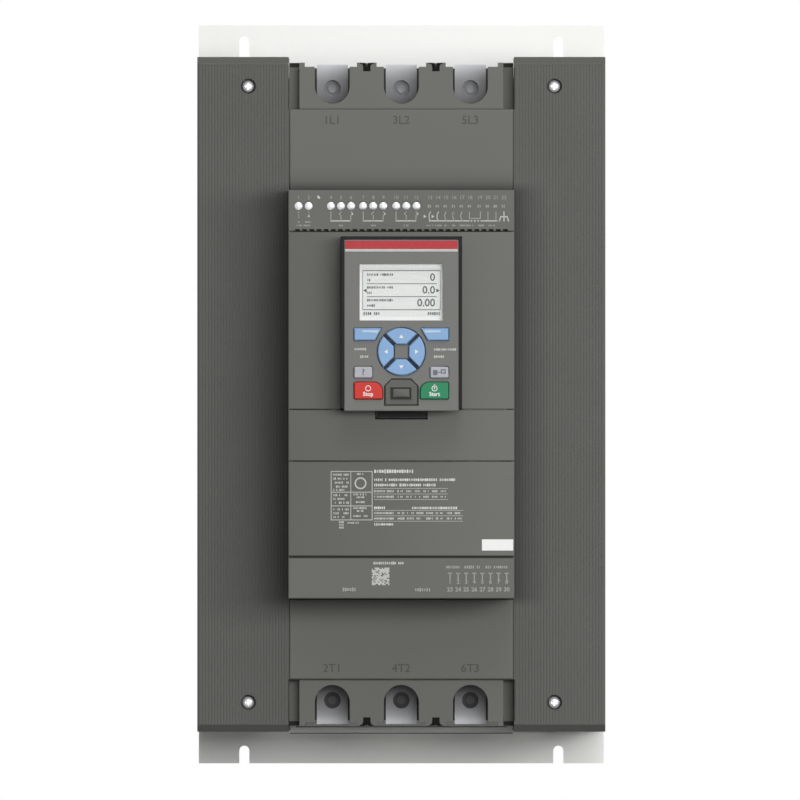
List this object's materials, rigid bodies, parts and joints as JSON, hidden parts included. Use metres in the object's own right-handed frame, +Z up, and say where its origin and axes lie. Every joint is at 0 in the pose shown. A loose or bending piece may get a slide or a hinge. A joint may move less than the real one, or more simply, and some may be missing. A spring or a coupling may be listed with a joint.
{
  "type": "soft starter",
  "caption": "Wall-mounted three-phase motor soft starter: ribbed side covers, shrouded busbar terminals, raised control module and a pull-off keypad over a finned heat sink with fans.",
  "frame": {"origin": "centre of the back plate's rear face", "axes": "+Z up along the plate, +Y into the wall, so the front looks along -Y"},
  "size_m": [0.258, 0.2815, 0.47],
  "materials": {
    "zinc_plate": "bright zinc-coated sheet steel",
    "zinc_steel": "zinc-plated steel",
    "aluminium": "extruded aluminium, mill finish",
    "black_plastic": "moulded black plastic",
    "grey_plastic": "moulded dark grey plastic, fine texture",
    "module_plastic": "moulded insulating plastic",
    "tinned_copper": "tin-plated copper bar",
    "circuit_board": "glass-fibre circuit board",
    "keypad_grey": "moulded grey plastic",
    "display_glass": "clear display window",
    "display_cell": "liquid crystal cell",
    "clear_plastic": "clear moulded plug",
    "flap_rubber": "soft grey rubber",
    "key_blue": "blue key cap",
    "key_grey": "grey key cap",
    "key_red": "red key cap",
    "key_green": "green key cap"
  },
  "bodies": {
    "root": {"mounting_plate": "zinc_plate", "plate_screws": "zinc_steel", "heat_sink": "aluminium", "fan_tray": "zinc_plate", "fan_frame_left": "black_plastic", "fan_frame_right": "black_plastic", "cover_posts": "zinc_steel", "left_side_cover": "grey_plastic", "right_side_cover": "grey_plastic", "side_cover_screws": "zinc_steel", "main_housing": "grey_plastic", "line_shroud": "grey_plastic", "load_shroud": "grey_plastic", "front_cover": "grey_plastic", "thyristor_module_1": "module_plastic", "thyristor_module_2": "module_plastic", "thyristor_module_3": "module_plastic", "line_busbar_1": "tinned_copper", "line_busbar_2": "tinned_copper", "line_busbar_3": "tinned_copper", "load_busbar_1": "tinned_copper", "load_busbar_2": "tinned_copper", "load_busbar_3": "tinned_copper", "power_screws": "zinc_steel", "current_transformers": "module_plastic", "bypass_contactor": "module_plastic", "trigger_board": "circuit_board", "control_housing": "grey_plastic", "control_board": "circuit_board", "upper_terminal_block": "module_plastic", "lower_terminal_block": "module_plastic", "com_sockets": "black_plastic", "terminal_screws": "zinc_steel", "upper_strip": "grey_plastic", "keypad_panel": "grey_plastic", "module_lid": "grey_plastic", "rating_panel": "grey_plastic", "lower_strip": "grey_plastic"},
    "keypad": {"keypad_shell": "black_plastic", "keypad_face": "keypad_grey", "display_glass": "display_glass", "lcd_panel": "display_cell", "keypad_board": "circuit_board", "keypad_plug": "clear_plastic", "usb_socket": "zinc_steel"},
    "fan_rotor_left": {"fan_rotor_left": "black_plastic"},
    "fan_rotor_right": {"fan_rotor_right": "black_plastic"},
    "bypass_carrier": {"bypass_carrier": "module_plastic"},
    "usb_flap": {"usb_flap": "flap_rubber"},
    "softkey_left": {"softkey_left": "key_blue"},
    "softkey_right": {"softkey_right": "key_blue"},
    "arrow_up": {"arrow_up": "key_blue"},
    "arrow_down": {"arrow_down": "key_blue"},
    "arrow_left": {"arrow_left": "key_blue"},
    "arrow_right": {"arrow_right": "key_blue"},
    "info_key": {"info_key": "key_grey"},
    "local_key": {"local_key": "key_grey"},
    "stop_key": {"stop_key": "key_red"},
    "start_key": {"start_key": "key_green"}
  },
  "joints": [
    {"name": "fan_left_spin", "type": "hinge", "parent": "root", "child": "fan_rotor_left", "pos_m": [-0.042, -0.043, -0.2], "axis": [0, 0, 1], "continuous": true},
    {"name": "fan_right_spin", "type": "hinge", "parent": "root", "child": "fan_rotor_right", "pos_m": [0.042, -0.043, -0.2], "axis": [0, 0, 1], "continuous": true},
    {"name": "bypass_close", "type": "slide", "parent": "root", "child": "bypass_carrier", "axis": [0, 1, 0], "range_m": [0, 0.004], "stiffness_N_per_m": 900},
    {"name": "keypad_pull", "type": "slide", "parent": "root", "child": "keypad", "axis": [0, -1, 0], "range_m": [0, 0.03]},
    {"name": "usb_flap_turn", "type": "hinge", "parent": "keypad", "child": "usb_flap", "pos_m": [0, -0.2803, 0.0089], "axis": [-1, 0, 0], "range_deg": [0, 100]},
    {"name": "softkey_left_press", "type": "slide", "parent": "keypad", "child": "softkey_left", "axis": [0, 1, 0], "range_m": [0, 0.0008], "stiffness_N_per_m": 600},
    {"name": "softkey_right_press", "type": "slide", "parent": "keypad", "child": "softkey_right", "axis": [0, 1, 0], "range_m": [0, 0.0008], "stiffness_N_per_m": 600},
    {"name": "arrow_up_press", "type": "slide", "parent": "keypad", "child": "arrow_up", "axis": [0, 1, 0], "range_m": [0, 0.0008], "stiffness_N_per_m": 600},
    {"name": "arrow_down_press", "type": "slide", "parent": "keypad", "child": "arrow_down", "axis": [0, 1, 0], "range_m": [0, 0.0008], "stiffness_N_per_m": 600},
    {"name": "arrow_left_press", "type": "slide", "parent": "keypad", "child": "arrow_left", "axis": [0, 1, 0], "range_m": [0, 0.0008], "stiffness_N_per_m": 600},
    {"name": "arrow_right_press", "type": "slide", "parent": "keypad", "child": "arrow_right", "axis": [0, 1, 0], "range_m": [0, 0.0008], "stiffness_N_per_m": 600},
    {"name": "info_key_press", "type": "slide", "parent": "keypad", "child": "info_key", "axis": [0, 1, 0], "range_m": [0, 0.0008], "stiffness_N_per_m": 600},
    {"name": "local_key_press", "type": "slide", "parent": "keypad", "child": "local_key", "axis": [0, 1, 0], "range_m": [0, 0.0008], "stiffness_N_per_m": 600},
    {"name": "stop_key_press", "type": "slide", "parent": "keypad", "child": "stop_key", "axis": [0, 1, 0], "range_m": [0, 0.0008], "stiffness_N_per_m": 600},
    {"name": "start_key_press", "type": "slide", "parent": "keypad", "child": "start_key", "axis": [0, 1, 0], "range_m": [0, 0.0008], "stiffness_N_per_m": 600}
  ]
}
